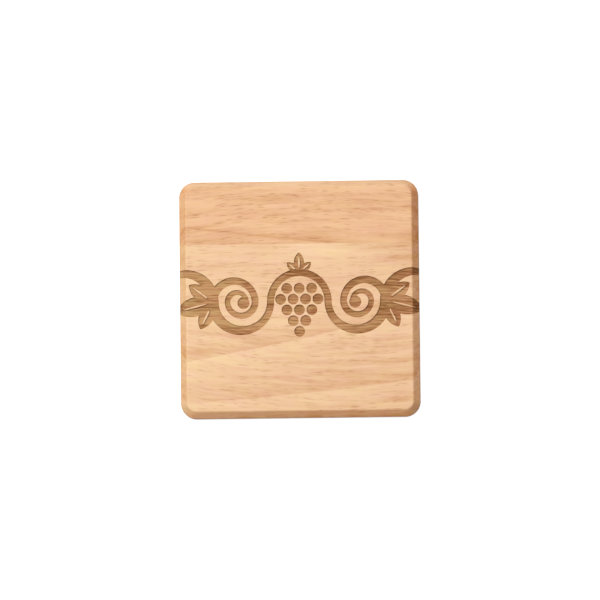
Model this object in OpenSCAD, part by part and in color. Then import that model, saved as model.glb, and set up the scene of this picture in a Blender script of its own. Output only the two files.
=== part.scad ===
// Square hardwood wine coaster: a block glued up from two staves, chamfered round its top,
// with a vine ornament engraved in a band across it and four non-slip feet underneath.
// +Z is up, +Y is the back edge, and the origin is the middle of what the feet stand on.

/* [Block] */
// Size of the square block along the grain, from left to right
block_w = 100; // [90:0.5:120]
// Its size across the grain, a little smaller because the wood has shrunk that way
block_d = 99; // [90:0.5:120]
// Thickness of the wood
block_t = 9; // [8:0.5:14]
// Radius of the four upright corners
corner_r = 6.5; // [5:0.5:9]
// Width and height of the chamfer round the top
chamfer = 2.75; // [1.5:0.25:4]
// Width and height of the small chamfer round the underside
base_chamfer = 0.8; // [0.4:0.1:1.2]

/* [Staves] */
// Width of the narrow stave at the back, glued to the wide one in front of it
back_stave_w = 26.4; // [15:0.1:40]

/* [Feet] */
// Diameter of a foot
foot_d = 11; // [8:0.5:14]
// Thickness of a foot
foot_t = 1.6; // [1:0.1:2.5]
// Radius of the moulded lower edge of a foot
foot_edge_r = 0.8; // [0.3:0.1:0.9]
// Distance from the block's side to the middle of a foot
foot_inset = 13; // [10:0.5:18]

/* [Engraving] */
// Depth of the engraving, measured straight down
engrave_depth = 0.5; // [0.2:0.05:0.9]
// Distance of the vine's base line from the middle of the block
vine_y = -1; // [-4:0.5:1]
// Length of one bend of the vine along the base line
vine_bend = 24; // [23:0.25:26]
// Width of the vine where it crosses the base line beside the bunch
vine_w = 3; // [1.5:0.1:3.5]
// Width of the vine where a tendril and a leaf leave it
vine_fork_w = 4.6; // [3.6:0.1:5.2]
// Width of a tendril at its thin end
tendril_tip_w = 1.9; // [1:0.1:2.4]
// Diameter of the bud at the end of a tendril
bud_d = 5; // [3.5:0.25:5.5]
// Diameter of a grape
grape_d = 4.5; // [3.5:0.1:4.8]
// Distance between the middles of two touching grapes
grape_pitch = 5.2; // [5:0.05:5.3]
// Length of the middle lobe of the leaf above the bunch
top_leaf_l = 8.5; // [5:0.5:9.5]
// Length of the middle lobe of a leaf at the side
side_leaf_l = 16; // [9:0.5:18]
// Width of the vein left standing in a leaf's lobe
vein_w = 0.7; // [0.4:0.1:1]

/* [Hidden] */
$fn = 96;

// How far cutting shapes run past what they cut
overrun = 1;
// Heights of the wood's underside and top
wood_z = foot_t;
top_z = wood_z + block_t;
// Plane in which the staves are glued
glue_y = block_d / 2 - back_stave_w;
// Middle of a corner's curve, and of a foot, from the middle of the block
corner_at = [block_w / 2 - corner_r, block_d / 2 - corner_r];
foot_at = [block_w / 2 - foot_inset, block_d / 2 - foot_inset];

// Grapes in each row of the bunch, from the top
bunch_rows = [3, 4, 3, 2, 1];
// Height of the bunch's first row over the base line, as a share of half a bend
bunch_top_share = 0.45;
// Rows of touching circles lie this share of the pitch apart
row_share = sqrt(3) / 2;

// A tendril's crossings of the base line, as shares of half a bend back from the fork
tendril_cross_shares = [0, 1.46, 0.5, 1.16];
// Its widths there, as shares of the way from the thin end to the fork
tendril_width_shares = [0.6, 0.36, 0.15, 0];
// The bud's middle from the tendril's end, in shares of the bud's diameter
bud_shift_shares = [0.25, -0.1];

// A lobe's width as a share of its length, and its vein's length likewise
lobe_width_share = 0.5;
vein_length_share = 0.75;
// The outer lobes' length as a share of the middle lobe's
outer_lobe_share = 0.78;
// Angle between neighbouring lobes, and the way that a side leaf points
lobe_angle = 50;
side_leaf_angle = -14;

// Half of the block's upright section, from the axis of a corner or of a side outward
function half_section(reach) = [
    [0, wood_z],
    [reach - base_chamfer, wood_z],
    [reach, wood_z + base_chamfer],
    [reach, top_z - chamfer],
    [reach - chamfer, top_z],
    [0, top_z],
];

// Bar with the whole upright section, along Y and centred on it
module bar(width, length) {
    half = half_section(width / 2);
    mirrored = [for (i = [len(half) - 2 : -1 : 1]) [-half[i][0], half[i][1]]];
    rotate([90, 0, 0])
        linear_extrude(height = length, center = true)
            polygon(concat(half, mirrored));
}

// The block before it is cut into its two staves: two crossed bars and four round corners
module block() {
    bar(block_w, 2 * corner_at[1]);
    rotate(90)
        bar(block_d, 2 * corner_at[0]);
    for (side_x = [-1, 1], side_y = [-1, 1])
        translate([side_x * corner_at[0], side_y * corner_at[1], 0])
            rotate_extrude()
                polygon(half_section(corner_r));
}

// Circle that crosses the base line at two given places
module crossing_circle(a, b) {
    translate([(a + b) / 2, 0])
        circle(d = abs(b - a));
}

// Half of a ring above or below the base line, from one crossing to the next. The stroke
// has its own width at each, so it tapers, and it stands square to the base line.
module half_ring(from_x, from_w, to_x, to_w, above) {
    way = sign(to_x - from_x);
    a = from_x - way * from_w / 2;
    b = to_x + way * to_w / 2;
    reach = abs(b - a);
    intersection() {
        difference() {
            crossing_circle(a, b);
            crossing_circle(from_x + way * from_w / 2, to_x - way * to_w / 2);
        }
        translate([min(a, b), above ? 0 : -reach])
            square([reach, reach]);
    }
}

// Pointed oval between two arcs, along +X from the origin
module pointed_oval(length, width) {
    arc_r = (length ^ 2 + width ^ 2) / (4 * width);
    intersection_for (side = [-1, 1])
        translate([length / 2, side * (arc_r - width / 2)])
            circle(r = arc_r);
}

// Lobe of a leaf, with its vein left standing
module lobe(length) {
    vein_l = length * vein_length_share;
    difference() {
        pointed_oval(length, length * lobe_width_share);
        translate([(length - vein_l) / 2, 0])
            pointed_oval(vein_l, vein_w);
    }
}

// Leaf of three lobes, its stalk end at the origin and its middle lobe along +X
module leaf(length) {
    lobe(length);
    for (side = [-1, 1])
        rotate(side * lobe_angle)
            lobe(length * outer_lobe_share);
}

// Bunch of grapes that hangs under the middle of the vine
module bunch() {
    for (row = [0 : len(bunch_rows) - 1]) {
        count = bunch_rows[row];
        row_y = vine_bend / 2 * bunch_top_share - row * grape_pitch * row_share;
        for (i = [0 : count - 1])
            translate([(i - (count - 1) / 2) * grape_pitch, row_y])
                circle(d = grape_d);
    }
}

// Tendril that curls back from a fork and in on itself, to a bud
module tendril(fork_x) {
    half_bend = vine_bend / 2;
    at = [for (share = tendril_cross_shares) fork_x - half_bend * share];
    width = [for (share = tendril_width_shares)
        tendril_tip_w + (vine_fork_w - tendril_tip_w) * share];
    for (i = [0 : len(at) - 2])
        half_ring(at[i], width[i], at[i + 1], width[i + 1], i % 2 == 0);
    translate([at[len(at) - 1] + bud_d * bud_shift_shares[0], bud_d * bud_shift_shares[1]])
        circle(d = bud_d);
}

// Right half of the vine: its bends from the bunch to past the block's side
module vine_half() {
    half_bend = vine_bend / 2;
    fork_x = half_bend + vine_bend;
    half_ring(half_bend, vine_w, fork_x, vine_fork_w, false);
    half_ring(fork_x, vine_fork_w, fork_x + vine_bend, tendril_tip_w, true);
    tendril(fork_x);
    translate([fork_x, 0])
        rotate(side_leaf_angle)
            leaf(side_leaf_l);
}

// The whole ornament, seen from above
module ornament() {
    half_bend = vine_bend / 2;
    translate([0, vine_y]) {
        half_ring(-half_bend, vine_w, half_bend, vine_w, true);
        vine_half();
        mirror([1, 0])
            vine_half();
        bunch();
        translate([0, half_bend])
            rotate(90)
                leaf(top_leaf_l);
    }
}

// All that the engraving takes away: the ornament, down to a floor that follows the top
// and the two side chamfers at the same depth
module engraving() {
    side = block_w / 2;
    floor_z = top_z - engrave_depth;
    low_z = floor_z - chamfer - overrun;
    high_z = top_z + overrun;
    intersection() {
        translate([0, 0, low_z - overrun])
            linear_extrude(height = high_z - low_z + 2 * overrun)
                ornament();
        rotate([90, 0, 0])
            linear_extrude(height = block_d, center = true)
                polygon([
                    [-side - overrun, low_z],
                    [-side + chamfer, floor_z],
                    [side - chamfer, floor_z],
                    [side + overrun, low_z],
                    [side + overrun, high_z],
                    [-side - overrun, high_z],
                ]);
    }
}

// Part of the block between two planes across the grain, with its share of the engraving
module stave(from_y, to_y) {
    difference() {
        intersection() {
            block();
            translate([-block_w / 2 - overrun, from_y, wood_z - overrun])
                cube([block_w + 2 * overrun, to_y - from_y, block_t + 2 * overrun]);
        }
        engraving();
    }
}

// Wide stave, from the glue line to the front edge
module wide_stave() {
    color([0.94, 0.78, 0.62])
        stave(-block_d / 2 - overrun, glue_y);
}

// Narrow stave, from the glue line to the back edge
module back_stave() {
    color([0.92, 0.74, 0.57])
        stave(glue_y, block_d / 2 + overrun);
}

// Round self-adhesive foot, stuck to the underside of the wood at one corner
module foot(side_x, side_y) {
    flat_r = foot_d / 2 - foot_edge_r;
    color([0.2, 0.2, 0.2])
        translate([side_x * foot_at[0], side_y * foot_at[1], 0])
            rotate_extrude() {
                translate([0, foot_edge_r])
                    square([foot_d / 2, foot_t - foot_edge_r]);
                square([flat_r, foot_t]);
                translate([flat_r, foot_edge_r])
                    circle(r = foot_edge_r);
            }
}

wide_stave();
back_stave();
foot(-1, -1);  // foot_front_left
foot(1, -1);  // foot_front_right
foot(-1, 1);  // foot_back_left
foot(1, 1);  // foot_back_right
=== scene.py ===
"""Looks of a square wine coaster: two glued rubberwood staves with an engraved vine, and four rubber feet.

Lengths are in millimetres until a mesh is written, unless a name says otherwise.
"""
import math

import bpy
import numpy as np
from mathutils import Matrix, Vector


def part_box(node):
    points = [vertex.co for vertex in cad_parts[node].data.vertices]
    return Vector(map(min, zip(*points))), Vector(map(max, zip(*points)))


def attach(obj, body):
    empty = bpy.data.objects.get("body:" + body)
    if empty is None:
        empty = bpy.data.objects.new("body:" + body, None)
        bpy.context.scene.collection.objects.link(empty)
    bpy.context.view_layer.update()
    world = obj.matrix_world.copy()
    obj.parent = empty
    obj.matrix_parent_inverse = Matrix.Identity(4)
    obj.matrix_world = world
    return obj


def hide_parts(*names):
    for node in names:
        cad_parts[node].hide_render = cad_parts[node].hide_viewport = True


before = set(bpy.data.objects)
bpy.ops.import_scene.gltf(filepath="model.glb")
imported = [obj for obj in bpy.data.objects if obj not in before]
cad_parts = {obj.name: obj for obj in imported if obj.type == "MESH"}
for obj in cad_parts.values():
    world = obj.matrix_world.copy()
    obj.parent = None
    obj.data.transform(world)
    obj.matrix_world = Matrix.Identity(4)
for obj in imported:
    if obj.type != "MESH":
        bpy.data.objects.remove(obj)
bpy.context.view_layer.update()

MM = 0.001

# Sizes of the block, from its parts in model.glb
wide_low, wide_high = (np.array(corner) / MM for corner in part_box("wide_stave"))
back_high = np.array(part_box("back_stave")[1]) / MM
SIDE_X = wide_high[0]
SIDE_Y = back_high[1]
GLUE_Y = wide_high[1]
WOOD_Z = wide_low[2]
TOP_Z = wide_high[2]

# Sizes of the block's edges, as in the part
CORNER_R = 6.5
CHAMFER = 2.75
BASE_CHAMFER = 0.8

# Sanding has rounded each bend of the edge's section, from the top down, to these radii. In the mesh, a bend has
# this many points.
SANDED_R = (0.9, 0.8, 0.6, 0.4)
BEND_POINTS = 5
# The skin's section starts on the flat top and ends on the flat underside, this far from the side
TOP_INSET = 4.6
UNDER_INSET = 1.6

# Sizes of the engraving, as in the part, with angles in degrees
ENGRAVE_DEPTH = 0.5
VINE_Y = -1.0
VINE_BEND = 24.0
VINE_W = 3.0
VINE_FORK_W = 4.6
TENDRIL_TIP_W = 1.9
BUD_D = 5.0
GRAPE_D = 4.5
GRAPE_PITCH = 5.2
TOP_LEAF_L = 8.5
SIDE_LEAF_L = 16.0
VEIN_W = 0.7
BUNCH_ROWS = (3, 4, 3, 2, 1)
BUNCH_TOP_SHARE = 0.45
TENDRIL_CROSS_SHARES = (0, 1.46, 0.5, 1.16)
TENDRIL_WIDTH_SHARES = (0.6, 0.36, 0.15, 0)
BUD_SHIFT_SHARES = (0.25, -0.1)
LOBE_WIDTH_SHARE = 0.5
VEIN_LENGTH_SHARE = 0.75
OUTER_LOBE_SHARE = 0.78
LOBE_ANGLE = 50
SIDE_LEAF_ANGLE = -14

# Mesh spacing in the engraved band, away from it, and on the upright sides
FINE_STEP = 0.28
PLAIN_STEP = 0.9
WALL_STEP = 0.9
# Lower and upper limit of the engraved band
BAND_Y = (-18.0, 21.5)
# Rounds in which mesh points move onto the vine's outline, and the least slope that a move is divided by, so that
# none goes far where strokes meet
SNAP_ROUNDS = 3
LEAST_SLOPE = 0.2
# Half rings overlap their neighbours on the base line by this much in the mesh, and by this much where the
# distance from the outline is only a colour
SEAM_OVERLAP = 0.02
SHADE_OVERLAP = 0.9
# The engraving's wall leans in by this much. In the block's side, the wood below its mouth settles back over
# this length, and the scorched colour ends in this much.
WALL_LEAN = 0.06
MOUTH_FADE = 2.0
SCORCH_FADE = 0.08
# Ribs of the engraved floor, where soft grain has burnt deeper than hard: height and spacing
RIB_HEIGHT = 0.022
RIB_STEP = 1.25
# Sines that lead the ribs sideways (height, length, start), and sines that they are made of (height, pace, drift)
RIB_WANDER = ((0.5, 7.1, 0.0), (0.3, 3.7, 1.3))
RIB_WAVES = ((1.0, 1.0, 0.0), (0.7, 1.73, 1 / 5), (0.5, 0.61, -1 / 9))
# The floor rises to the foot of its wall by this much, over this length, and is browner there
WALL_FOOT_RISE = 0.2
WALL_FOOT_REACH = 0.75


# Shapes of the engraving: each function gives the distance to an outline, below zero inside it

def disc(x, y, middle_x, middle_y, diameter):
    """Distance to the disc's middle, less its radius."""
    return np.hypot(x - middle_x, y - middle_y) - diameter / 2


def half_ring(x, y, from_x, from_w, to_x, to_w, above, overlap):
    """Largest of the distances into an outer disc, out of an inner disc and into one half plane. Both discs stand
    on the base line between the two crossings, widened and narrowed there by half the stroke's width."""
    way = 1 if to_x > from_x else -1
    a, b = from_x - way * from_w / 2, to_x + way * to_w / 2
    c, d = from_x + way * from_w / 2, to_x - way * to_w / 2
    ring = np.maximum(disc(x, y, (a + b) / 2, 0, abs(b - a)), -disc(x, y, (c + d) / 2, 0, abs(d - c)))
    return np.maximum(ring, (-y if above else y) - overlap)


def pointed_oval(x, y, length, width):
    """Larger of the distances into two discs that cross at both tips; their radius is (l^2 + w^2) / 4w."""
    arc_r = (length ** 2 + width ** 2) / (4 * width)
    offset = arc_r - width / 2
    return np.maximum(disc(x, y, length / 2, offset, 2 * arc_r), disc(x, y, length / 2, -offset, 2 * arc_r))


def turned(x, y, degrees):
    """The point in axes that are turned by the angle."""
    cos, sin = math.cos(math.radians(degrees)), math.sin(math.radians(degrees))
    return x * cos + y * sin, y * cos - x * sin


def lobe(x, y, length):
    """Larger of the distances into a pointed oval and out of the narrow oval of its vein."""
    vein_l = length * VEIN_LENGTH_SHARE
    vein = pointed_oval(x - (length - vein_l) / 2, y, vein_l, VEIN_W)
    return np.maximum(pointed_oval(x, y, length, length * LOBE_WIDTH_SHARE), -vein)


def leaf(x, y, length):
    """Smallest of the distances into three lobes that spread from the origin."""
    outer = [lobe(*turned(x, y, side * LOBE_ANGLE), length * OUTER_LOBE_SHARE) for side in (-1, 1)]
    return np.minimum(lobe(x, y, length), np.minimum(*outer))


def vine(x, y, overlap):
    """Smallest of the distances into all strokes of the ornament, whose left half mirrors the right."""
    y = y - VINE_Y
    right = np.abs(x)
    half = VINE_BEND / 2
    fork = half + VINE_BEND
    shapes = [
        half_ring(x, y, -half, VINE_W, half, VINE_W, True, overlap),
        half_ring(right, y, half, VINE_W, fork, VINE_FORK_W, False, overlap),
        half_ring(right, y, fork, VINE_FORK_W, fork + VINE_BEND, TENDRIL_TIP_W, True, overlap),
        leaf(*turned(x, y - half, 90), TOP_LEAF_L),
        leaf(*turned(right - fork, y, SIDE_LEAF_ANGLE), SIDE_LEAF_L),
    ]
    at = [fork - half * share for share in TENDRIL_CROSS_SHARES]
    width = [TENDRIL_TIP_W + (VINE_FORK_W - TENDRIL_TIP_W) * share for share in TENDRIL_WIDTH_SHARES]
    for i in range(len(at) - 1):
        shapes.append(half_ring(right, y, at[i], width[i], at[i + 1], width[i + 1], i % 2 == 0, overlap))
    shapes.append(disc(right, y, at[-1] + BUD_D * BUD_SHIFT_SHARES[0], BUD_D * BUD_SHIFT_SHARES[1], BUD_D))
    for row, count in enumerate(BUNCH_ROWS):
        row_y = half * BUNCH_TOP_SHARE - row * GRAPE_PITCH * math.sqrt(3) / 2
        for i in range(count):
            shapes.append(disc(x, y, (i - (count - 1) / 2) * GRAPE_PITCH, row_y, GRAPE_D))
    return np.minimum.reduce(shapes)


# The skin: one sheet over the top, the chamfers, the sides and the rim of the underside

def rounded_section():
    """Section of the block's edge as points (inset, height): five straight runs, whose four bends are arcs that
    start before each corner by radius times tan(half the bend)."""
    corners = np.array([
        (TOP_INSET, TOP_Z), (CHAMFER, TOP_Z), (0, TOP_Z - CHAMFER), (0, WOOD_Z + BASE_CHAMFER),
        (BASE_CHAMFER, WOOD_Z), (UNDER_INSET, WOOD_Z),
    ])
    points = [corners[0]]
    for radius, before, at, after in zip(SANDED_R, corners, corners[1:], corners[2:]):
        in_way = (at - before) / np.linalg.norm(at - before)
        out_way = (after - at) / np.linalg.norm(after - at)
        bend = math.acos(float(in_way @ out_way))
        start = at - in_way * radius * math.tan(bend / 2)
        side = (out_way - in_way * math.cos(bend)) / math.sin(bend)
        for angle in np.linspace(0, bend, BEND_POINTS):
            points.append(start + in_way * radius * math.sin(angle) + side * radius * (1 - math.cos(angle)))
    points.append(corners[-1])
    return np.array(points)


SECTION = rounded_section()
# Reach of each point of the section: its distance from a corner's middle, unrolled along the section
REACH = CORNER_R - TOP_INSET + np.r_[0, np.cumsum(np.linalg.norm(np.diff(SECTION, axis=0), axis=1))]
# Reach at the lower end of the second bend, where the engraving runs out of the block's side
MOUTH = REACH[2 * BEND_POINTS]


def skin(u, v):
    """Point of the skin and its reach. The reach past a corner's middle gives inset and height. Along a side the
    other coordinate stays; round a corner it gives the angle, 45 degrees times its ratio to the larger reach."""
    reach_u, reach_v = np.abs(u) - (SIDE_X - CORNER_R), np.abs(v) - (SIDE_Y - CORNER_R)
    reach = np.maximum(reach_u, reach_v)
    flat = reach <= REACH[0]
    radius = np.where(flat, reach, CORNER_R - np.interp(reach, REACH, SECTION[:, 0]))
    z = np.where(flat, TOP_Z, np.interp(reach, REACH, SECTION[:, 1]))
    corner = (reach_u > 0) & (reach_v > 0)
    share = np.minimum(reach_u, reach_v) / np.where(corner, reach, 1)
    angle = np.where(reach_u > reach_v, share, 2 - share) * math.pi / 4
    along_u = np.where(corner, radius * np.cos(angle), np.where(reach_u > 0, radius, reach_u))
    along_v = np.where(corner, radius * np.sin(angle), np.where(reach_v > 0, radius, reach_v))
    x = np.where(u < 0, -1, 1) * (SIDE_X - CORNER_R + along_u)
    y = np.where(v < 0, -1, 1) * (SIDE_Y - CORNER_R + along_v)
    return x, y, z, reach


def engraved(u, v):
    """Distance into the vine, straight below a point of the skin."""
    x, y, _, _ = skin(u, v)
    return vine(x, y, SEAM_OVERLAP)


def slopes(u, v):
    """Rates at which the distance into the vine grows along u and v, from points a little to either side."""
    tiny = 1e-4
    return ((engraved(u + tiny, v) - engraved(u - tiny, v)) / (2 * tiny),
            (engraved(u, v + tiny) - engraved(u, v - tiny)) / (2 * tiny))


def floor_rib(x, y):
    """Height of the engraved floor's ribs, from -1 to 1: the mean, weighted by height, of sin(pace * phase +
    drift * x). The phase is 2 pi (y + wander) / spacing, and the wander the sum of height * sin(x / length + start).
    """
    wander = sum(height * np.sin(x / length + start) for height, length, start in RIB_WANDER)
    phase = 2 * math.pi * (y + wander) / RIB_STEP
    waves = sum(height * np.sin(pace * phase + drift * x) for height, pace, drift in RIB_WAVES)
    return waves / sum(height for height, _, _ in RIB_WAVES)


def wall_nearness(x, y):
    """How near a point of the floor is to its wall: (1 - distance / reach)^2, and nought past the reach."""
    return np.clip(1 + vine(x, y, SHADE_OVERLAP) / WALL_FOOT_REACH, 0, 1) ** 2


# Meshes of the staves

def edge_reaches():
    """Reaches of the mesh lines over an edge: the section's points, its straight runs divided, and the mouth."""
    lines = [REACH[:1]]
    for i in range(1, len(REACH)):
        upright = abs(SECTION[i, 0] - SECTION[i - 1, 0]) < 1e-6
        count = math.ceil((REACH[i] - REACH[i - 1]) / (WALL_STEP if upright else FINE_STEP))
        lines.append(np.linspace(REACH[i - 1], REACH[i], max(count, 1) + 1)[1:])
    return np.sort(np.concatenate(lines + [[MOUTH + SCORCH_FADE]]))


def spaced(start, end, step):
    """Numbers from start to just before end, evenly spaced by about the step."""
    return np.linspace(start, end, math.ceil((end - start) / step), endpoint=False)


def write_mesh(name, points, faces, fields, sharp_degrees):
    """Object with the given points in millimetres, its faces, and one number per point for each named field. Edges
    that bend by more than the angle stay sharp."""
    mesh = bpy.data.meshes.new(name)
    mesh.from_pydata((points * MM).tolist(), [], faces)
    for field, values in fields.items():
        mesh.attributes.new(field, "FLOAT", "POINT").data.foreach_set("value", values.astype(np.float32))
    mesh.shade_smooth()
    mesh.set_sharp_from_angle(angle=math.radians(sharp_degrees))
    piece = bpy.data.objects.new(name, mesh)
    bpy.context.scene.collection.objects.link(piece)
    return piece


def snap_to_outline(index, u, v):
    """Moves the nearer end of each grid edge that the vine's outline crosses onto the outline: in each round by the
    distance over the slope squared, times the slope. Gives each point's side: -1 inside, 0 on the outline, 1
    outside."""
    away = engraved(u, v)
    side = np.where(away < 0, -1, 1)
    for near, far in ((index[:-1], index[1:]), (index[:, :-1], index[:, 1:])):
        crossed = away[near] * away[far] < 0
        nearer = np.where(np.abs(away[near]) <= np.abs(away[far]), near, far)
        side[nearer[crossed]] = 0
    rim = np.flatnonzero(side == 0)
    for _ in range(SNAP_ROUNDS):
        slope_u, slope_v = slopes(u[rim], v[rim])
        steep = np.maximum(slope_u ** 2 + slope_v ** 2, LEAST_SLOPE)
        move = np.clip(engraved(u[rim], v[rim]), -FINE_STEP, FINE_STEP) / steep
        u[rim] -= move * slope_u
        v[rim] -= move * slope_v
    return side


def skin_faces(index, side, u, v):
    """Faces of the grid as (outside squares, inside squares, outside triangles, inside triangles). Whole cells stay
    squares, and those at the outline are split from corner to corner."""
    cells = np.stack([index[:-1, :-1], index[1:, :-1], index[1:, 1:], index[:-1, 1:]], -1).reshape(-1, 4)
    sides = side[cells]
    whole = (sides != 0).all(1)
    inside_cells, outside_cells = cells[whole & (sides[:, 0] < 0)], cells[whole & (sides[:, 0] > 0)]
    cells = cells[~whole]
    on_line = side[cells] == 0
    cells = np.where((on_line[:, 1] & on_line[:, 3])[:, None], np.roll(cells, -1, 1), cells)
    triangles = np.concatenate([cells[:, [0, 1, 2]], cells[:, [0, 2, 3]]])
    sides = side[triangles]
    middle = engraved(u[triangles].mean(1), v[triangles].mean(1))
    is_inside = (sides < 0).any(1) | ((sides == 0).all(1) & (middle < 0))
    return outside_cells, inside_cells, triangles[~is_inside], triangles[is_inside]


def wall_faces(outside, inside, copy_of):
    """Walls of the engraving, as (squares, triangles): they stand where an outside and an inside triangle share an
    edge, from the edge down to its copy, and are triangles where only one of its ends has a copy."""
    total = len(copy_of)
    out_edges = outside[:, [0, 1, 1, 2, 2, 0]].reshape(-1, 2)
    in_edges = inside[:, [0, 1, 1, 2, 2, 0]].reshape(-1, 2)
    shared = np.isin(out_edges[:, 0] * total + out_edges[:, 1], in_edges[:, 1] * total + in_edges[:, 0])
    start, end = out_edges[shared].T
    start_splits, end_splits = copy_of[start] != start, copy_of[end] != end
    squares = np.stack([end, start, copy_of[start], copy_of[end]], 1)[start_splits & end_splits]
    tapers = np.concatenate([
        np.stack([end, start, copy_of[start]], 1)[start_splits & ~end_splits],
        np.stack([end, start, copy_of[end]], 1)[end_splits & ~start_splits],
    ])
    return squares, tapers


def cap_faces(index, glued_first):
    """The grid's free edges joined up as the underside, round three sides of the stave, and the glue face."""
    left, right, front, back = index[0], index[-1], index[:, 0], index[:, -1]
    if glued_first:
        return np.concatenate([left, back[1:], right[::-1][1:]])[None], front[::-1][None]
    return np.concatenate([left, right[::-1], front[::-1][1:-1]])[None], back[None]


def stave(name, u_lines, v_lines, glued_first, cut):
    """Closed mesh of a stave: a grid over the skin, with flat caps over its glue face and its underside. Where it is
    cut, the outline's points are copied onto the engraved floor, a little inside the outline, and walls join both.
    A floor point lies under the skin by the engraving's depth, less the rise at the wall's foot and the rib."""
    u, v = (lines.ravel() for lines in np.meshgrid(u_lines, v_lines, indexing="ij"))
    total = len(u)
    index = np.arange(total).reshape(len(u_lines), len(v_lines))
    side = snap_to_outline(index, u, v) if cut else np.ones(total, int)

    x, y, z, reach = skin(u, v)
    below = side < 0
    scorched = np.clip(1 - (reach - MOUTH) / SCORCH_FADE, 0, 1)
    near_wall = wall_nearness(x, y)
    lowered = (ENGRAVE_DEPTH - WALL_FOOT_RISE * near_wall) * np.clip(1 - (reach - MOUTH) / MOUTH_FADE, 0, 1)
    rib = np.where(below, floor_rib(x, y) * scorched, 0)
    depth = np.where(below | (side == 0) & (reach > MOUTH), lowered - RIB_HEIGHT * rib, 0)

    split = np.flatnonzero((side == 0) & (reach <= MOUTH))
    copy_of = np.arange(total)
    copy_of[split] = total + np.arange(len(split))
    slope_u, slope_v = slopes(u[split], v[split])
    lean = WALL_LEAN / np.maximum(np.hypot(slope_u, slope_v), LEAST_SLOPE)
    low_x, low_y, low_z, _ = skin(u[split] - lean * slope_u, v[split] - lean * slope_v)
    low_rib, low_near = floor_rib(low_x, low_y), wall_nearness(low_x, low_y)
    low_depth = ENGRAVE_DEPTH - WALL_FOOT_RISE * low_near - RIB_HEIGHT * low_rib

    points = np.concatenate([np.stack([x, y, z - depth], 1), np.stack([low_x, low_y, low_z - low_depth], 1)])
    fields = {
        "cut": np.r_[np.where(below, scorched, 0), np.ones(len(split))],
        "rib": np.r_[rib, low_rib],
        "wall_foot": np.r_[near_wall, low_near],
    }
    outside_cells, inside_cells, outside, inside = skin_faces(index, side, u, v)
    groups = [outside_cells, copy_of[inside_cells], outside, copy_of[inside],
              *wall_faces(outside, inside, copy_of), *cap_faces(index, glued_first)]
    used = np.zeros(len(points), bool)
    used[np.concatenate([group.ravel() for group in groups])] = True
    number = np.cumsum(used) - 1
    faces = [face for group in groups for face in number[group].tolist()]
    fields = {field: values[used] for field, values in fields.items()}
    return write_mesh(name, points[used], faces, fields, sharp_degrees=38)


edge = edge_reaches()
over_x, over_y = SIDE_X - CORNER_R + edge, SIDE_Y - CORNER_R + edge
wide_u = np.r_[-over_x[::-1], spaced(-over_x[0], over_x[0], FINE_STEP)[1:], over_x]
wide_v = np.r_[-over_y[::-1], spaced(-over_y[0], BAND_Y[0], PLAIN_STEP)[1:], spaced(*BAND_Y, FINE_STEP),
               spaced(BAND_Y[1], GLUE_Y, PLAIN_STEP), GLUE_Y]
back_u = np.r_[-over_x[::-1], spaced(-over_x[0], over_x[0], PLAIN_STEP)[1:], over_x]
back_v = np.r_[spaced(GLUE_Y, over_y[0], PLAIN_STEP), over_y]

wide_stave = stave("wide_stave_wood", wide_u, wide_v, glued_first=False, cut=True)
back_stave = stave("back_stave_wood", back_u, back_v, glued_first=True, cut=False)
for piece, node, finish in ((wide_stave, "wide_stave", "light_wood"), (back_stave, "back_stave", "warm_wood")):
    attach(piece, "root")
    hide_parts(node)


# Feet

# Radius of the moulded lower edge and depth of the dish under the foot, and in the mesh the sides round a foot and
# the points along each of the two curves
FOOT_EDGE_R = 0.8
FOOT_DISH = 0.12
FOOT_SIDES = 64
FOOT_CURVE_POINTS = 7


def revolved(profile, sides):
    """Points of a profile (radius, height) turned about the upright axis, as radius times cos, radius times sin and
    height, with the index of each point and of the next one round."""
    angle = np.arange(sides) * 2 * math.pi / sides
    points = np.stack([
        profile[:, :1] * np.cos(angle), profile[:, :1] * np.sin(angle), np.repeat(profile[:, 1:], sides, 1),
    ], -1).reshape(-1, 3)
    index = np.arange(len(points)).reshape(len(profile), sides)
    return points, index, np.roll(index, -1, 1)


def foot(name, low, high):
    """Revolved foot: its profile goes out over the slightly dished underside, round the moulded edge as a quarter
    circle and up the side. The dish's height is its depth times the square of 1 - (r / flat radius)^2."""
    middle_x, middle_y = (low[:2] + high[:2]) / 2
    radius = (high[0] - low[0]) / 2
    flat_r = radius - FOOT_EDGE_R
    quarter = np.linspace(0, math.pi / 2, FOOT_CURVE_POINTS)
    dish_r = np.linspace(0, flat_r, FOOT_CURVE_POINTS)[1:-1]
    profile = np.concatenate([
        np.stack([dish_r, low[2] + FOOT_DISH * (1 - (dish_r / flat_r) ** 2) ** 2], 1),
        np.stack([flat_r + FOOT_EDGE_R * np.sin(quarter), low[2] + FOOT_EDGE_R * (1 - np.cos(quarter))], 1),
        [(radius, high[2])],
    ])
    points, index, after = revolved(profile, FOOT_SIDES)
    sides = np.stack([index[:-1], after[:-1], after[1:], index[1:]], -1).reshape(-1, 4)
    fan = np.stack([after[0], index[0], np.full(FOOT_SIDES, len(points))], -1)
    points = np.concatenate([points, [(0, 0, low[2] + FOOT_DISH)]]) + (middle_x, middle_y, 0)
    faces = sides.tolist() + fan.tolist() + [index[-1].tolist()]
    return write_mesh(name, points, faces, {}, sharp_degrees=40)


feet = []
for corner in ("front_left", "front_right", "back_left", "back_right"):
    low, high = (np.array(point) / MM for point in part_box("foot_" + corner))
    piece = foot("foot_" + corner + "_rubber", low, high)
    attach(piece, "root")
    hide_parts("foot_" + corner)
    feet.append(piece)


# Materials

def linear(code):
    """sRGB hex to linear colour: each channel c becomes ((c + 0.055) / 1.055) ^ 2.4, or c / 12.92 when dark."""
    channels = [int(code[i:i + 2], 16) / 255 for i in (1, 3, 5)]
    return [c / 12.92 if c <= 0.04045 else ((c + 0.055) / 1.055) ** 2.4 for c in channels] + [1.0]


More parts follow.
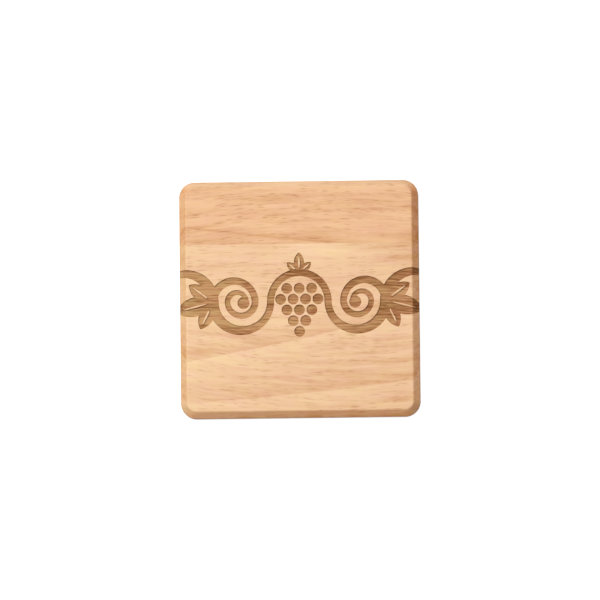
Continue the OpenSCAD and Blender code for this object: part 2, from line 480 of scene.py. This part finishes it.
def add(tree, kind, sockets=(), stops=(), **settings):
    """Adds a node: its settings, its sockets' values or links by name or number, and a ramp's stops, each a place
    with a hex colour or a grey value. In a colour Mix, inputs 6 and 7 are the colours and output 2 is the result."""
    node = tree.nodes.new(kind)
    for name, value in settings.items():
        setattr(node, name, value)
    for place, (position, code) in enumerate(stops):
        elements = node.color_ramp.elements
        element = elements[place] if place < len(elements) else elements.new(position)
        element.position = position
        element.color = linear(code) if isinstance(code, str) else [code] * 3 + [1.0]
    for name, value in dict(sockets).items():
        if isinstance(value, bpy.types.NodeSocket):
            tree.links.new(value, node.inputs[name])
        else:
            node.inputs[name].default_value = value
    return node


def new_material(name, **shader):
    """Material of one Principled shader, whose sockets have the given values, named with _ for each space."""
    material = bpy.data.materials.new(name)
    material.use_nodes = True
    tree = material.node_tree
    tree.nodes.clear()
    values = {key.replace("_", " "): value for key, value in shader.items()}
    principled = add(tree, "ShaderNodeBsdfPrincipled", values)
    add(tree, "ShaderNodeOutputMaterial", {"Surface": principled.outputs[0]})
    return material, tree, principled


# Growth lines on the top face, one in each row: its y at the left side, in the middle and at the right side, and
# the wood's tone just in front of it and just behind it, from 0 for dark to 1 for pale
WIDE_LINES = (
    (-54, -54.5, -60, 0.6, 0.3),
    (-43.3, -39.4, -34.2, 0.66, 0.24),
    (-37, -31, -24, 0.4, 0.4),
    (-25.6, -16.6, -5, 0.78, 0.2),
    (-16.5, -8, 9, 0.55, 0.55),
    (90, 45, 14, 0.5, 0.42),
    (120, 110, 100, 0.4, 0.4),
)
BACK_LINES = (
    (2, -2, -6, 0.4, 0.4),
    (30.5, 24.9, 20.4, 0.3, 0.0),
    (31.3, 25.7, 21.2, 0.25, 0.25),
    (34, 30.2, 27, 0.42, 0.42),
    (66, 63, 60, 0.4, 0.4),
)
# How far from the middle the left and the right side are in these rows, and the last share of the way to a line,
# in which its two tones meet
LINE_X = 48.0
LINE_EDGE = 0.02
# Soft patches of paler or darker wood: x and y of the middle, half length, half width, and change of the tone
WIDE_PATCHES = (
    (6, 23, 20, 8, 0.35),
    (-36, 21.5, 16, 4, 0.08),
    (20, 17, 22, 6, 0.1),
    (52, 17, 20, 9, -0.28),
    (41, -41, 12, 4.5, -0.3),
    (-24, -50.5, 6, 3.2, -0.85),
    (5.5, -50.5, 6, 3.2, -0.85),
    (23, -50.5, 8, 3.2, -0.7),
    (-42, -21.5, 12, 4, -0.4),
    (-14, 21, 10, 4, -0.22),
)
BACK_PATCHES = (
    (44, 26, 26, 6, -0.12),
    (51.5, 26, 4, 3.8, -1.2),
    (10, 24.0, 12, 1.1, -0.35),
    (7, 28.3, 13, 3.5, -0.25),
)
# Depth under the top at which a patch has faded out
PATCH_DEPTH = 9.0

# Length along the board, across it and through it of the waves in which the grain wanders
WANDER_WAVE = (45, 22, 30)
# Layers of noise that are drawn out along the grain: length and width in mm, and detail
GRAIN_LAYERS = {
    "broad": (60, 7, 2), "band": (26, 2.0, 2), "streak": (12, 0.85, 3), "fibre": (7, 0.32, 1),
    "blush": (9, 3.2, 2), "line": (5, 0.62, 1),
}
# How far two of the layers push the growth lines to and fro, for a fray of one
FRAY_WEIGHTS = {"streak": 1.5, "band": 1.0}
# Where the noises start, as multiples of the seed, and the step from each layer to the next, so that none follows
# another
WANDER_START = 37.0
LAYER_START, LAYER_STEP = 11.0, 5.0
PORE_START, PORE_STEP = 2.3, 3.7

# Pores: length and width of the cells that hold one dash each, distances from a cell's middle, in cells, at which
# a dash ends and at which it is full, and the strengths of the faintest and the strongest
PORE_CELLS = ((9.0, 0.6), (4.5, 0.5))
PORE_EDGE = (0.42, 0.12)
PORE_STRENGTH = (0.2, 1.0)
# Change in the share of cells with a pore for each unit of the broad and the band layer
PORE_GATHER = -1.6
PORE_COLOUR = "#A05E22"

# Value of the blush layer at which the hue leans fully to yellow; at its negative, it leans fully to pink
BLUSH_FULL = 0.25
WOOD_BLUSH = ((0.0, "#FFF6FF"), (1.0, "#FFFFF4"))
BURNT_BLUSH = ((0.0, "#FFEEF2"), (1.0, "#FAFFF0"))
# The tint of an end or edge sets in where the normal's part along its axis reaches the first of these, and is
# full at the second
EDGE_LEAN = (0.25, 0.7)

# The burnt floor's tone in the middle, its change to the right side, and the part of each source in it
BURNT_TONE = 0.6
BURNT_TILT = -0.17
BURNT_WEIGHTS = {"rib": 0.4, "broad": 1.9, "band": 0.35, "streak": 0.6, "line": 1.35, "pores": -0.4}
BURNT_COLOURS = ((0.0, "#7E522B"), (0.5, "#A2764F"), (1.0, "#BD956A"))
BURNT_BLUSH_TILT = -0.06
# Tints by nearness to the wall's foot, and by lean to the right. The right end's tint is end grain burnt darker,
# plus painted shade: the left end, which faces the lamp, gets none.
WALL_FOOT_TINTS = ((0.0, "#FFFFFF"), (0.7, "#F3EDE6"))
RIGHT_END_GRAIN_AND_SHADE_TINTS = ((0.0, "#FFFFFF"), (1.0, "#F0E0CC"))
# Value of the cut field, blurred over a face at its limits, from which the wood is fully burnt
CUT_FULL = 0.6
# Specular level and roughness of plain wood and of the burnt floor, and what streaks and pores add to the roughness
WOOD_SHINE, BURNT_SHINE = 0.5, 0.08
WOOD_DULL, BURNT_DULL = 0.5, 0.85
STREAK_DULL = -0.15
PORE_DULL = 0.2
# Relief: depth of a pore, the fibres' part of it, and the strength of the bump
PORE_PIT = 0.05
FIBRE_RELIEF = 0.3
RELIEF_STRENGTH = 0.35


def grain_axes(tree, point, seed, sway, bow):
    """The point in the grain's axes. Its y gains the sway times a noise, whose waves make the grain wander by up to
    half the sway. It also gains (x - middle)^2 times a rate, so that the grain bows; the rate grows from nought at
    one y to full at another."""
    middle, rate, start_y, full_y = bow
    x, y, z = add(tree, "ShaderNodeSeparateXYZ", {0: point}).outputs
    scaled = add(tree, "ShaderNodeMapping", {
        0: point, "Location": (seed * WANDER_START, 0, 0), "Scale": [1 / length for length in WANDER_WAVE]})
    wander = add(tree, "ShaderNodeTexNoise", {
        "Vector": scaled.outputs[0], "Scale": 1.0, "Detail": 2.0, "Roughness": 0.45})
    waved = add(tree, "ShaderNodeMath", {0: wander.outputs[0], 1: sway, 2: y}, operation="MULTIPLY_ADD")
    off = add(tree, "ShaderNodeMath", {0: x, 1: middle}, operation="SUBTRACT").outputs[0]
    square = add(tree, "ShaderNodeMath", {0: off, 1: off}, operation="MULTIPLY").outputs[0]
    bend = add(tree, "ShaderNodeMapRange", {
        "Value": y, "From Min": start_y, "From Max": full_y, "To Max": rate}, interpolation_type="SMOOTHSTEP")
    across = add(tree, "ShaderNodeMath", {
        0: square, 1: bend.outputs[0], 2: waved.outputs[0]}, operation="MULTIPLY_ADD")
    return add(tree, "ShaderNodeCombineXYZ", {0: x, 1: across.outputs[0], 2: z}).outputs[0]


def grain_layers(tree, grain, seed):
    """Noise of each layer less a half, so that it lies about nought. Its space is divided by the layer's length
    along the grain and by its width across it."""
    noise = {}
    for number, (layer, (length, width, detail)) in enumerate(GRAIN_LAYERS.items()):
        start = (seed * LAYER_START + number * LAYER_STEP, seed, 0)
        scaled = add(tree, "ShaderNodeMapping", {
            0: grain, "Location": start, "Scale": (1 / length, 1 / width, 1 / width)})
        value = add(tree, "ShaderNodeTexNoise", {
            "Vector": scaled.outputs[0], "Scale": 1.0, "Detail": detail, "Roughness": 0.55})
        noise[layer] = add(tree, "ShaderNodeMath", {0: value.outputs[0], 1: 0.5}, operation="SUBTRACT").outputs[0]
    return noise


def growth_tone(tree, share, y, lines):
    """Tone of the wood between its growth lines. A line's y is middle + (right - left) / 2 s + ((right + left) / 2
    - middle) s^2, where s is the share of the way to the side. The count of lines in front of a point, plus its
    share of the way to the next, is the sum of clamp((y - a) / (b - a)), and a ramp over that count gives the tone.
    """
    at = []
    for left, middle, right, _, _ in lines:
        inner = add(tree, "ShaderNodeMath", {
            0: share, 1: (right + left) / 2 - middle, 2: (right - left) / 2}, operation="MULTIPLY_ADD")
        line = add(tree, "ShaderNodeMath", {0: inner.outputs[0], 1: share, 2: middle}, operation="MULTIPLY_ADD")
        at.append(line.outputs[0])
    total = 0.0
    for a, b in zip(at, at[1:]):
        gap = add(tree, "ShaderNodeMapRange", {"Value": y, "From Min": a, "From Max": b})
        total = add(tree, "ShaderNodeMath", {0: gap.outputs[0], 1: total}, operation="ADD").outputs[0]
    last = len(lines) - 1
    stops = []
    for i, (_, _, _, before, after) in enumerate(lines):
        stops += [(max(i - LINE_EDGE, 0) / last, before)] * (i > 0) + [(i / last, after)] * (i < last)
    total = add(tree, "ShaderNodeMath", {0: total, 1: last}, operation="DIVIDE").outputs[0]
    return add(tree, "ShaderNodeValToRGB", {0: total}, stops=stops).outputs[0]


def patched(tree, tone, point, patches):
    """Tone with soft patches: each adds its change times smoothstep of 1 - d, where d is the distance from its
    middle on the top face, in half lengths, half widths and the patches' depth."""
    for patch_x, patch_y, half_length, half_width, change in patches:
        scaled = add(tree, "ShaderNodeMapping", {
            0: point, "Location": (-patch_x / half_length, -patch_y / half_width, -TOP_Z / PATCH_DEPTH),
            "Scale": (1 / half_length, 1 / half_width, 1 / PATCH_DEPTH)})
        distance = add(tree, "ShaderNodeVectorMath", {0: scaled.outputs[0]}, operation="LENGTH")
        patch = add(tree, "ShaderNodeMapRange", {
            "Value": distance.outputs["Value"], "From Min": 1.0, "From Max": 0.0, "To Max": change},
            interpolation_type="SMOOTHSTEP")
        tone = add(tree, "ShaderNodeMath", {0: tone, 1: patch.outputs[0]}, operation="ADD").outputs[0]
    return tone


def pore_dashes(tree, grain, noise, seed, pore_share):
    """Pores, where vessels are cut: dashes along the grain, up to 5 mm long and 0.3 mm wide, in two lengths. A cell
    whose random number is under the limit holds one, which fades out from its middle. The limit is the share of
    cells with a pore, and it is higher where the broad and band layers are dark, so that pores gather there."""
    limit = pore_share
    for layer in ("broad", "band"):
        limit = add(tree, "ShaderNodeMath", {
            0: noise[layer], 1: PORE_GATHER, 2: limit}, operation="MULTIPLY_ADD").outputs[0]
    pores = 0.0
    for number, (length, width) in enumerate(PORE_CELLS):
        start = (number * PORE_STEP + seed, seed * PORE_START, seed)
        scaled = add(tree, "ShaderNodeMapping", {
            0: grain, "Location": start, "Scale": (1 / length, 1 / width, 1 / width)})
        cell = add(tree, "ShaderNodeTexVoronoi", {"Vector": scaled.outputs[0], "Scale": 1.0, "Randomness": 1.0})
        spot = add(tree, "ShaderNodeMapRange", {
            "Value": cell.outputs["Distance"], "From Min": PORE_EDGE[0], "From Max": PORE_EDGE[1]},
            interpolation_type="SMOOTHSTEP").outputs[0]
        chance = add(tree, "ShaderNodeSeparateColor", {0: cell.outputs["Color"]})
        here = add(tree, "ShaderNodeMath", {0: chance.outputs[0], 1: limit}, operation="LESS_THAN")
        strength = add(tree, "ShaderNodeMapRange", {
            "Value": chance.outputs[1], "To Min": PORE_STRENGTH[0], "To Max": PORE_STRENGTH[1]})
        for factor in (here, strength):
            spot = add(tree, "ShaderNodeMath", {0: spot, 1: factor.outputs[0]}, operation="MULTIPLY").outputs[0]
        pores = add(tree, "ShaderNodeMath", {0: pores, 1: spot}, operation="MAXIMUM").outputs[0]
    return pores


def edge_and_shade_coloured(tree, colour, normal, tints):
    """Colour on the chamfers and sides, tinted partly by the end grain's own tone and partly with painted shade and
    light by the way a side faces the lamp. Each tint is an axis, a way along it, and a hue, saturation and value, of
    which 0.5, 1 and 1 change nothing. It sets in by smoothstep of the normal's part along its axis, and acts only
    as far as those before it don't."""
    free = 1.0
    for axis, way, (hue, saturation, value) in tints:
        lean = add(tree, "ShaderNodeMapRange", {
            "Value": normal[axis], "From Min": EDGE_LEAN[0] * way, "From Max": EDGE_LEAN[1] * way},
            interpolation_type="SMOOTHSTEP")
        tinted = add(tree, "ShaderNodeMath", {0: lean.outputs[0], 1: free}, operation="MULTIPLY").outputs[0]
        free = add(tree, "ShaderNodeMath", {0: free, 1: tinted}, operation="SUBTRACT").outputs[0]
        colour = add(tree, "ShaderNodeHueSaturation", {
            "Fac": tinted, "Hue": hue, "Saturation": saturation, "Value": value, "Color": colour}).outputs[0]
    return colour


def burnt_floor(tree, share, noise, pores, normal_x):
    """Colour of the engraving's burnt floor: brown stripes along the grain, led by its ribs. The hue leans to pink
    or to yellow, and the floor is darker at the foot of its wall and on the right end, which is end grain burnt
    darker plus painted shade on the end that faces away from the lamp."""
    rib = add(tree, "ShaderNodeAttribute", attribute_name="rib")
    wall_foot = add(tree, "ShaderNodeAttribute", attribute_name="wall_foot")
    sources = dict(noise, rib=rib.outputs["Fac"], pores=pores)
    stripe = add(tree, "ShaderNodeMath", {
        0: share, 1: BURNT_TILT, 2: BURNT_TONE}, operation="MULTIPLY_ADD").outputs[0]
    for source, weight in BURNT_WEIGHTS.items():
        stripe = add(tree, "ShaderNodeMath", {
            0: sources[source], 1: weight, 2: stripe}, operation="MULTIPLY_ADD").outputs[0]
    burnt = add(tree, "ShaderNodeValToRGB", {0: stripe}, stops=BURNT_COLOURS).outputs[0]
    blush = add(tree, "ShaderNodeMath", {
        0: share, 1: BURNT_BLUSH_TILT, 2: noise["blush"]}, operation="MULTIPLY_ADD")
    blush = add(tree, "ShaderNodeMapRange", {
        "Value": blush.outputs[0], "From Min": -BLUSH_FULL, "From Max": BLUSH_FULL})
    lean = add(tree, "ShaderNodeMapRange", {
        "Value": normal_x, "From Min": EDGE_LEAN[0], "From Max": EDGE_LEAN[1]})
    # The lean to the right darkens the right end: end grain burnt darker, plus painted shade
    tints = (
        (blush.outputs[0], BURNT_BLUSH), (wall_foot.outputs["Fac"], WALL_FOOT_TINTS),
        (lean.outputs[0], RIGHT_END_GRAIN_AND_SHADE_TINTS),
    )
    for value, stops in tints:
        tint = add(tree, "ShaderNodeValToRGB", {0: value}, stops=stops)
        burnt = add(tree, "ShaderNodeMix", {
            "Factor": 1.0, 6: burnt, 7: tint.outputs[0]}, data_type="RGBA", blend_type="MULTIPLY").outputs[2]
    return burnt


def rubberwood(name, seed, lines, climb, fray, tilt, patches, layer_weights, colours, sway, bow, pore_share,
               pore_depth, end_grain_and_shade_tints):
    """Rubberwood, planed and sanded, with a thin matt oil. That gives the eye pale straw to pinkish tan in soft
    bands along the growth lines, short brown pore dashes along the grain, a warmer tone on the end grain, and brown
    where it is burnt.

    The seed starts its noises. lines and patches are those of the top face. climb is how far the lines move back
    for each millimetre that the surface drops, fray how far the layers push them to and fro, and tilt the change of
    the tone from the middle to the right side. layer_weights are the layers' parts in the tone, and colours those
    of the tones from 0 to 1. sway and bow bend the grain, pore_share is the share of cells with a pore, pore_depth
    how far a pore takes on its own colour, and the edge tints colour the chamfers and sides: end grain's own tone,
    and painted shade and light by the way a side faces the lamp."""
    material, tree, shader = new_material(name, IOR=1.46)
    place = add(tree, "ShaderNodeTexCoord")
    normal = add(tree, "ShaderNodeSeparateXYZ", {0: place.outputs["Normal"]}).outputs
    cut = add(tree, "ShaderNodeAttribute", attribute_name="cut").outputs["Fac"]
    point = add(tree, "ShaderNodeVectorMath", {
        0: place.outputs["Object"], "Scale": 1 / MM}, operation="SCALE").outputs[0]
    x, y, z = add(tree, "ShaderNodeSeparateXYZ", {0: point}).outputs
    share = add(tree, "ShaderNodeMath", {0: x, 1: LINE_X}, operation="DIVIDE").outputs[0]
    grain = grain_axes(tree, point, seed, sway, bow)
    noise = grain_layers(tree, grain, seed)
    pores = pore_dashes(tree, grain, noise, seed, pore_share)

    # Tone: that of the growth lines, which lie slanted in the board, then tilt, patches and layers
    drop = add(tree, "ShaderNodeMath", {0: z, 1: climb, 2: -TOP_Z * climb}, operation="MULTIPLY_ADD").outputs[0]
    ring_y = add(tree, "ShaderNodeMath", {0: y, 1: drop}, operation="ADD").outputs[0]
    for layer, weight in FRAY_WEIGHTS.items():
        ring_y = add(tree, "ShaderNodeMath", {
            0: noise[layer], 1: weight * fray, 2: ring_y}, operation="MULTIPLY_ADD").outputs[0]
    tone = growth_tone(tree, share, ring_y, lines)
    tone = add(tree, "ShaderNodeMath", {0: share, 1: tilt, 2: tone}, operation="MULTIPLY_ADD").outputs[0]
    tone = patched(tree, tone, point, patches)
    for layer, weight in layer_weights.items():
        tone = add(tree, "ShaderNodeMath", {
            0: noise[layer], 1: weight, 2: tone}, operation="MULTIPLY_ADD").outputs[0]

    # Colour: the tone's, leaning to pink or to yellow, with the pores, the tints of the edges and the burnt floor
    colour = add(tree, "ShaderNodeValToRGB", {0: tone}, stops=colours).outputs[0]
    blush = add(tree, "ShaderNodeMapRange", {
        "Value": noise["blush"], "From Min": -BLUSH_FULL, "From Max": BLUSH_FULL})
    blush = add(tree, "ShaderNodeValToRGB", {0: blush.outputs[0]}, stops=WOOD_BLUSH)
    colour = add(tree, "ShaderNodeMix", {
        "Factor": 1.0, 6: colour, 7: blush.outputs[0]}, data_type="RGBA", blend_type="MULTIPLY").outputs[2]
    in_pore = add(tree, "ShaderNodeMath", {0: pores, 1: pore_depth}, operation="MULTIPLY")
    colour = add(tree, "ShaderNodeMix", {
        "Factor": in_pore.outputs[0], 6: colour, 7: linear(PORE_COLOUR)}, data_type="RGBA").outputs[2]
    colour = edge_and_shade_coloured(tree, colour, normal, end_grain_and_shade_tints)
    is_cut = add(tree, "ShaderNodeMapRange", {"Value": cut, "From Max": CUT_FULL})
    colour = add(tree, "ShaderNodeMix", {
        "Factor": is_cut.outputs[0], 6: colour, 7: burnt_floor(tree, share, noise, pores, normal[0])},
        data_type="RGBA").outputs[2]
    tree.links.new(colour, shader.inputs["Base Color"])

    # The oil has burnt off the floor, so it hardly shines. Pores are duller than the wood between them.
    shine = add(tree, "ShaderNodeMapRange", {
        "Value": cut, "From Max": CUT_FULL, "To Min": WOOD_SHINE, "To Max": BURNT_SHINE})
    tree.links.new(shine.outputs[0], shader.inputs["Specular IOR Level"])
    dull = add(tree, "ShaderNodeMapRange", {
        "Value": cut, "From Max": CUT_FULL, "To Min": WOOD_DULL, "To Max": BURNT_DULL}).outputs[0]
    for value, weight in ((noise["streak"], STREAK_DULL), (pores, PORE_DULL)):
        dull = add(tree, "ShaderNodeMath", {0: value, 1: weight, 2: dull}, operation="MULTIPLY_ADD").outputs[0]
    tree.links.new(dull, shader.inputs["Roughness"])

    # Relief: pores are pits, and fibres stand up by less than 0.01 mm
    relief = add(tree, "ShaderNodeMath", {0: pores, 1: -1.0}, operation="MULTIPLY").outputs[0]
    relief = add(tree, "ShaderNodeMath", {
        0: noise["fibre"], 1: FIBRE_RELIEF, 2: relief}, operation="MULTIPLY_ADD").outputs[0]
    bump = add(tree, "ShaderNodeBump", {
        "Height": relief, "Strength": RELIEF_STRENGTH, "Distance": PORE_PIT * MM})
    tree.links.new(bump.outputs[0], shader.inputs["Normal"])
    return material


# Tints of the left end, the right end and the long edge. End grain drinks more oil than the face, so both ends
# are warmer. On top of that the tints are painted shade and light: the front edge and the right end, which face
# away from the lamp, are painted more saturated as shade, and the back edge, which faces it, a little greyer as lit
# wood.
wide_wood = rubberwood(
    "rubberwood sanded, pale stave", seed=9.7,
    lines=WIDE_LINES, climb=1.6, fray=1.0, tilt=-0.1, patches=WIDE_PATCHES,
    layer_weights={"broad": 0.75, "band": 0.9, "streak": 0.7, "fibre": 0.35},
    colours=((0.0, "#CD9D6E"), (0.45, "#DAB389"), (1.0, "#E3C297")),
    sway=4.5, bow=(20.0, -0.0014, 0.0, -20.0), pore_share=0.41, pore_depth=0.5,
    end_grain_and_shade_tints=((0, -1, (0.498, 1.09, 0.915)), (0, 1, (0.491, 1.13, 1.09)), (1, -1, (0.489, 1.17, 1.21))))
back_wood = rubberwood(
    "rubberwood sanded, warm stave", seed=7.9,
    lines=BACK_LINES, climb=-1.6, fray=0.35, tilt=0.0, patches=BACK_PATCHES,
    layer_weights={"broad": 0.75, "band": 0.85, "streak": 0.5, "fibre": 0.35},
    colours=((0.0, "#C5905F"), (0.45, "#D9AC80"), (1.0, "#E3BC92")),
    sway=2.0, bow=(5.0, 0.001, -100.0, -50.0), pore_share=0.5, pore_depth=0.6,
    end_grain_and_shade_tints=((0, -1, (0.499, 1.05, 0.94)), (0, 1, (0.488, 1.14, 1.03)), (1, 1, (0.505, 0.93, 0.985))))
wide_stave.data.materials.append(wide_wood)
back_stave.data.materials.append(back_wood)


def moulded_rubber():
    """Self-adhesive polyurethane rubber, moulded: near black and matt, with a fine grained surface."""
    material, tree, shader = new_material("polyurethane rubber, moulded", Roughness=0.62, IOR=1.5)
    place = add(tree, "ShaderNodeTexCoord")
    # Mould grain of 0.4 mm, coarser than the real one so that it shows
    grain = add(tree, "ShaderNodeTexNoise", {
        "Vector": place.outputs["Object"], "Scale": 1 / (0.4 * MM), "Detail": 2.0})
    colour = add(tree, "ShaderNodeValToRGB", {0: grain.outputs[0]}, stops=((0.3, "#262523"), (0.7, "#35332F")))
    bump = add(tree, "ShaderNodeBump", {"Height": grain.outputs[0], "Strength": 0.4, "Distance": 0.03 * MM})
    tree.links.new(colour.outputs[0], shader.inputs["Base Color"])
    tree.links.new(bump.outputs[0], shader.inputs["Normal"])
    return material


rubber = moulded_rubber()
for piece in feet:
    piece.data.materials.append(rubber)


# Studio: a pale floor that curves up into a low wall, one soft lamp at the upper left, and a dim even sky

FLOOR_R = 6000.0
FLOOR_RINGS_R = (400, 1500, 3000, 4900)
COVE_R = 600.0
COVE_POINTS = 9
WALL_TOP = 1800.0
FLOOR_SIDES = 96


def studio_floor():
    """Revolved dish: a flat disc, a quarter circle round its rim and a wall."""
    quarter = np.linspace(0, math.pi / 2, COVE_POINTS)
    profile = np.concatenate([
        [(radius, 0) for radius in FLOOR_RINGS_R],
        np.stack([FLOOR_R - COVE_R + COVE_R * np.sin(quarter), COVE_R * (1 - np.cos(quarter))], 1),
        [(FLOOR_R, WALL_TOP)],
    ])
    points, index, after = revolved(profile, FLOOR_SIDES)
    faces = np.stack([index[:-1], index[1:], after[1:], after[:-1]], -1).reshape(-1, 4).tolist()
    return write_mesh("studio_floor", points, faces + [index[0].tolist()], {}, sharp_degrees=60)


floor = studio_floor()
# White card, lit from below: its own glow keeps it clear of all but the faintest shadow
card, _, _ = new_material(
    "white card", Roughness=0.9, Base_Color=linear("#969696"), Specular_IOR_Level=0.0,
    Emission_Color=linear("#FFFFFF"), Emission_Strength=0.95)
floor.data.materials.append(card)
# The card only fills the picture: the lamp and the sky light the wood
floor.visible_diffuse = False

LAMP_WAY = Vector((-0.34, 0.384, 0.8587)).normalized()
LAMP_DISTANCE_M = 3.0
LAMP_SIZE_M = 2.6
LAMP_POWER = 121.5
SKY = 0.2

lamp_data = bpy.data.lights.new("soft_lamp", "AREA")
lamp_data.shape = "DISK"
lamp_data.size = LAMP_SIZE_M
lamp_data.energy = LAMP_POWER
lamp = bpy.data.objects.new("soft_lamp", lamp_data)
lamp.location = LAMP_WAY * LAMP_DISTANCE_M
lamp.rotation_euler = LAMP_WAY.to_track_quat("Z", "Y").to_euler()
bpy.context.scene.collection.objects.link(lamp)

sky = bpy.data.worlds.new("even_sky")
sky.use_nodes = True
sky.node_tree.nodes.clear()
glow = add(sky.node_tree, "ShaderNodeBackground", {"Color": linear("#FFFFFF"), "Strength": SKY})
add(sky.node_tree, "ShaderNodeOutputWorld", {"Surface": glow.outputs[0]})
bpy.context.scene.world = sky
bpy.context.scene.view_settings.view_transform = "Standard"


# Camera, measured from the photograph: the block's width in pixels, the view's lean and roll in degrees, and the
# point in the middle of the picture

IMAGE_PX = 600
BLOCK_WIDTH_PX = 239.3
LEAN_FRONT = 4.0
LEAN_RIGHT = 2.0
ROLL = 0.6
TARGET_X = 0.12
TARGET_Y = -0.19
CAMERA_DISTANCE_M = 3.5
SENSOR = 36.0

way = Vector((math.tan(math.radians(LEAN_RIGHT)), -math.tan(math.radians(LEAN_FRONT)), 1)).normalized()
right = Vector((0, 1, 0)).cross(way).normalized()
up = way.cross(right)
axes = Matrix((right, up, way)).transposed() @ Matrix.Rotation(math.radians(-ROLL), 3, "Z")
target = Vector((TARGET_X, TARGET_Y, (WOOD_Z + TOP_Z) / 2)) * MM
camera_data = bpy.data.cameras.new("camera")
camera_data.sensor_width = SENSOR
camera_data.lens = SENSOR * BLOCK_WIDTH_PX / IMAGE_PX * CAMERA_DISTANCE_M / (2 * SIDE_X * MM)
camera = bpy.data.objects.new("camera", camera_data)
camera.matrix_world = Matrix.Translation(target + way * CAMERA_DISTANCE_M) @ axes.to_4x4()
bpy.context.scene.collection.objects.link(camera)
bpy.context.scene.camera = camera
